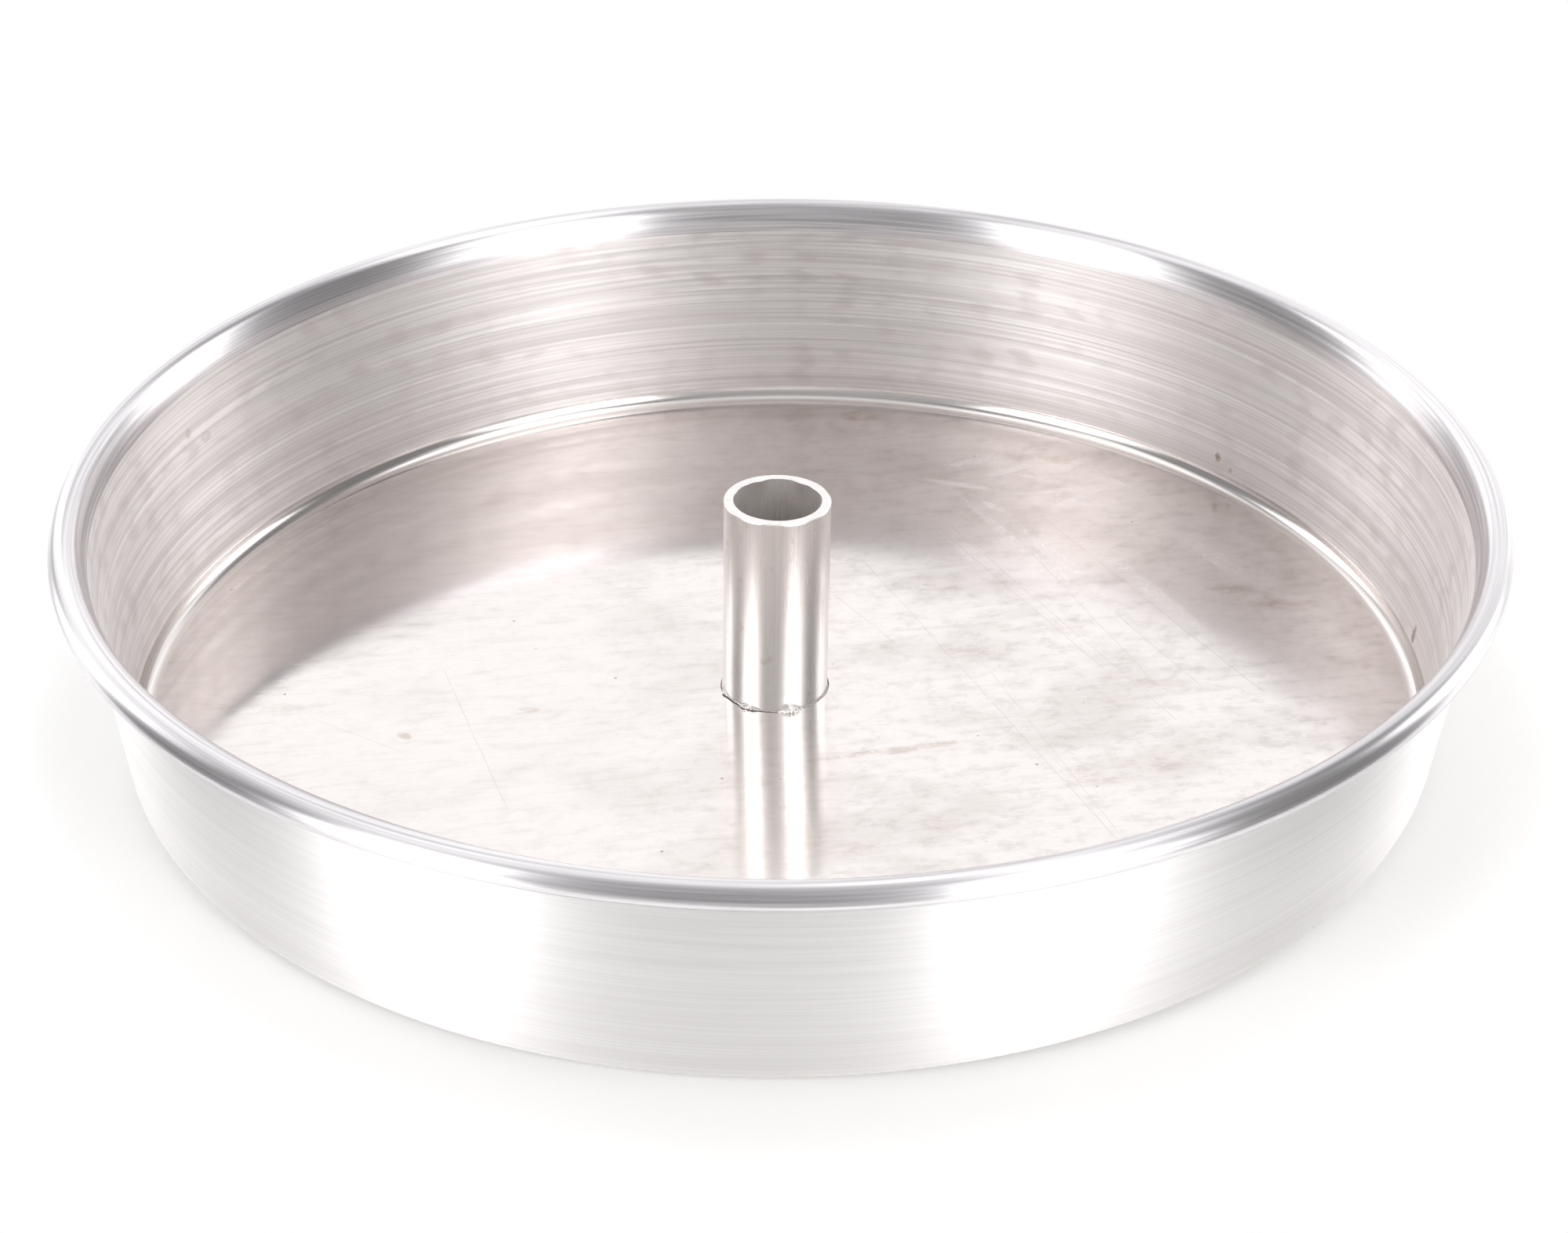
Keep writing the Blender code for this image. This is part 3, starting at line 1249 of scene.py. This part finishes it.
@dataclass
class Studio:
    """A white table in a pale room, with two large soft lights and white cards all round."""

    room: float = 0.20
    ceiling: float = 0.72
    backdrop: Colour = (1.0, 1.0, 1.0)
    table_radius: float = 0.165
    table_drop: float = 0.15 * MM
    panels: Sequence[LightPanel] = tuple(
        LightPanel(*row)
        for row in (
            ("camera_side", -8, 30, -60, 64, 0.22, 6),
            ("right_light", 44.5, 16, -60, 50, 1.35, 3),
            ("right_light_core", 36.5, 9, -60, 42, 3.4, 5),
            ("right_upper_edge", 72, 14, 48, 60, 0.8, 4),
            ("left_light", -58, 15, -60, 52, 1.15, 4),
            ("left_light_core", -54, 8.5, -60, 42, 3.6, 5),
            ("left_gap", -98, 16, -60, 50, 0.04, 6),
            ("left_card", -124, 10, -60, 42, 1.05, 4),
            ("left_corner", -150, 9, -24, 62, 0.85, 4),
            ("right_card", 119, 10, -60, 32, 1.05, 4),
            ("right_card_glow", 117, 10, 4, 34, 2.2, 4),
            ("left_card_glow", -120, 10, 4, 40, 1.2, 4),
            ("right_corner", 135, 7, -60, 36, 0.50, 4),
            ("right_back", 150, 10, -24, 36, 0.92, 4),
            ("low_left", -150, 10, -60, -24, 0.42, 4),
            ("low_right", 150, 10, -60, -24, 0.42, 4),
            ("back", 183, 23, -60, 74, 0.88, 5),
            ("upper_right", 110, 60, 58, 76, 1.6, 3),
            ("upper_left", -112, 31, 52, 75, 1.1, 4),
        )
    )

    def light_room(self) -> None:
        """Write the world: what the metal sees and what lights the table."""
        world = bpy.data.worlds.new("studio")
        world.use_nodes = True
        bpy.context.scene.world = world
        graph = Graph(world.node_tree)
        x, y, z = graph.split(graph.node("ShaderNodeTexCoord", output="Generated"))
        level = (x * x + y * y).root().greater(0.001)
        east, south = x / level, y / level * -1.0
        total = self.room + z.eased(0.90, 0.97) * (self.ceiling - self.room)
        for panel in self.panels:
            total = total + panel.light(east, south, z)
            LOG.info("light: %s", panel.name)
        lit, plain = (
            graph.node("ShaderNodeBackground", inputs={"Color": self.backdrop, "Strength": level})
            for level in (total, 1.0)
        )
        seen = graph.node("ShaderNodeLightPath", output="Is Camera Ray")
        mixed = graph.node("ShaderNodeMixShader", inputs={0: seen, 1: lit, 2: plain})
        graph.add("ShaderNodeOutputWorld", inputs={"Surface": mixed})

    def lay_table(self) -> None:
        """Put the table top just under the pan."""
        bm = bmesh.new()
        bmesh.ops.create_circle(bm, cap_ends=True, radius=self.table_radius, segments=96)
        mesh = bpy.data.meshes.new("table_top")
        bm.to_mesh(mesh)
        bm.free()
        mesh.materials.append(TableTop().material())
        table = bpy.data.objects.new("table_top", mesh)
        table.location.z = -self.table_drop
        bpy.context.scene.collection.objects.link(table)

    def develop(self) -> None:
        """Keep plain colours and clean up what noise the lights leave."""
        scene = bpy.context.scene
        scene.view_settings.view_transform = "Standard"
        scene.view_settings.look = "None"
        scene.cycles.use_denoising = True

    def build(self) -> None:
        """Set up the room, the table and how the picture is developed."""
        self.light_room()
        self.lay_table()
        self.develop()


@dataclass
class ProductCamera:
    """The camera, in front of the pan and a little above it."""

    lens: float = 76.37
    sensor: float = 36.0
    distance: float = 600.23 * MM
    elevation: float = math.radians(30.169)
    roll: float = math.radians(-0.3733)
    target: Vector = field(default_factory=lambda: Vector((0.706 * MM, 0.0, 14.78 * MM)))

    def build(self) -> None:
        """Make the camera and give it to the scene."""
        data = bpy.data.cameras.new("product_camera")
        data.lens = self.lens
        data.sensor_width = self.sensor
        data.clip_start, data.clip_end = 10 * MM, 20.0
        camera = bpy.data.objects.new("product_camera", data)
        back = Vector((0.0, -math.cos(self.elevation), math.sin(self.elevation)))
        facing = (-back).to_track_quat("-Z", "Y").to_matrix()
        roll = Matrix.Rotation(self.roll, 3, "Z")
        place = Matrix.Translation(self.target + back * self.distance)
        camera.matrix_world = place @ (facing @ roll).to_4x4()
        bpy.context.scene.collection.objects.link(camera)
        bpy.context.scene.camera = camera


def main() -> None:
    """Build the camera, the pan's pieces in order and the studio, and report each."""
    logging.basicConfig(level=logging.INFO, format="%(message)s")
    ProductCamera().build()
    stance = TubeStance()
    for maker in (PanShell(stance), CentreTube(stance), TubeWeld(stance), WeldRoot(stance)):
        piece = maker.build()
        LOG.info("%s: %d faces", piece.name, len(piece.data.polygons))
    Studio().build()


if __name__ == "__main__":
    main()
